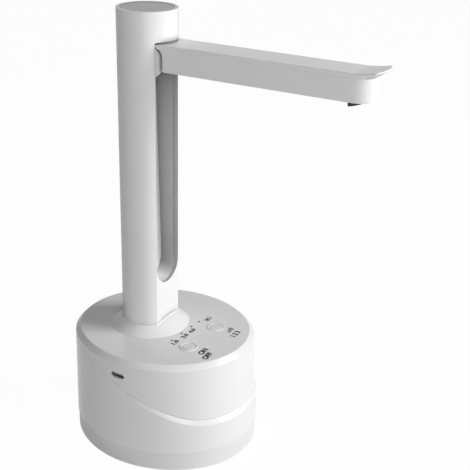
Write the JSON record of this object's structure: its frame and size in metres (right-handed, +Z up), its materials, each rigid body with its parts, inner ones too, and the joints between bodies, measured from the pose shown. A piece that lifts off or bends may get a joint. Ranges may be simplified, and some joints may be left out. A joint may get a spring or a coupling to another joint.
{
  "type": "electric water jug pump",
  "caption": "Electric pump that sits on a water jug's neck: oval base with touch buttons, tall slotted column and a folding spout arm.",
  "frame": {"origin": "centre of the jug neck socket's mouth in the underside of the base", "axes": "+Z up along the column, +X towards the spout, the charge port faces -Y"},
  "size_m": [0.1825, 0.1, 0.2568],
  "materials": {
    "white_plastic": "satin gloss",
    "button_plastic": "satin",
    "cover_plastic": "satin",
    "grey_plastic": "satin",
    "black_plastic": "matte",
    "dark_fitting": "matte",
    "inner_plastic": "satin",
    "foot_rubber": "matte",
    "hose_silicone": "translucent satin",
    "steel": "satin",
    "board_green": "solder mask",
    "cell_wrap": "satin wrap"
  },
  "bodies": {
    "housing": {"upper_shell": "white_plastic", "lower_shell": "white_plastic", "collar": "white_plastic", "column_tube": "white_plastic", "slot_trough": "white_plastic", "bottom_cover": "cover_plastic", "column_cap": "grey_plastic", "battery_cradle": "grey_plastic", "pump_cradle": "grey_plastic", "tact_switches": "black_plastic", "motor_end_bell": "black_plastic", "inlet_fitting": "dark_fitting", "swivel_spindle": "dark_fitting", "pump_case": "dark_fitting", "pump_head": "dark_fitting", "rocker": "inner_plastic", "valve_plate": "inner_plastic", "light_guide": "inner_plastic", "foot_ring": "foot_rubber", "spindle_seals": "foot_rubber", "diaphragm": "foot_rubber", "suction_hose": "hose_silicone", "delivery_hose": "hose_silicone", "cover_screws": "steel", "column_screws": "steel", "board_screws": "steel", "pump_screws": "steel", "motor_can": "steel", "charge_socket": "steel", "circuit_board": "board_green", "battery_cell": "cell_wrap"},
    "arm": {"arm_body": "white_plastic", "arm_cover": "white_plastic", "arm_hose": "hose_silicone", "nozzle": "black_plastic"},
    "flow_button": {"flow_button": "button_plastic", "flow_plunger": "black_plastic"},
    "volume_button": {"volume_button": "button_plastic", "volume_plunger": "black_plastic"},
    "rotor": {"drive_shaft": "steel"}
  },
  "joints": [
    {"name": "arm_fold", "type": "hinge", "parent": "housing", "child": "arm", "pos_m": [-0.0051, 0, 0.2295], "axis": [0, 1, 0], "range_deg": [0, 90]},
    {"name": "flow_press", "type": "slide", "parent": "housing", "child": "flow_button", "axis": [0, 0, -1], "range_m": [0, 0.0005], "stiffness_N_per_m": 1000},
    {"name": "volume_press", "type": "slide", "parent": "housing", "child": "volume_button", "axis": [0, 0, -1], "range_m": [0, 0.0005], "stiffness_N_per_m": 1000},
    {"name": "shaft_spin", "type": "hinge", "parent": "housing", "child": "rotor", "pos_m": [-0.024, 0, 0.038], "axis": [0, 1, 0], "continuous": true}
  ]
}
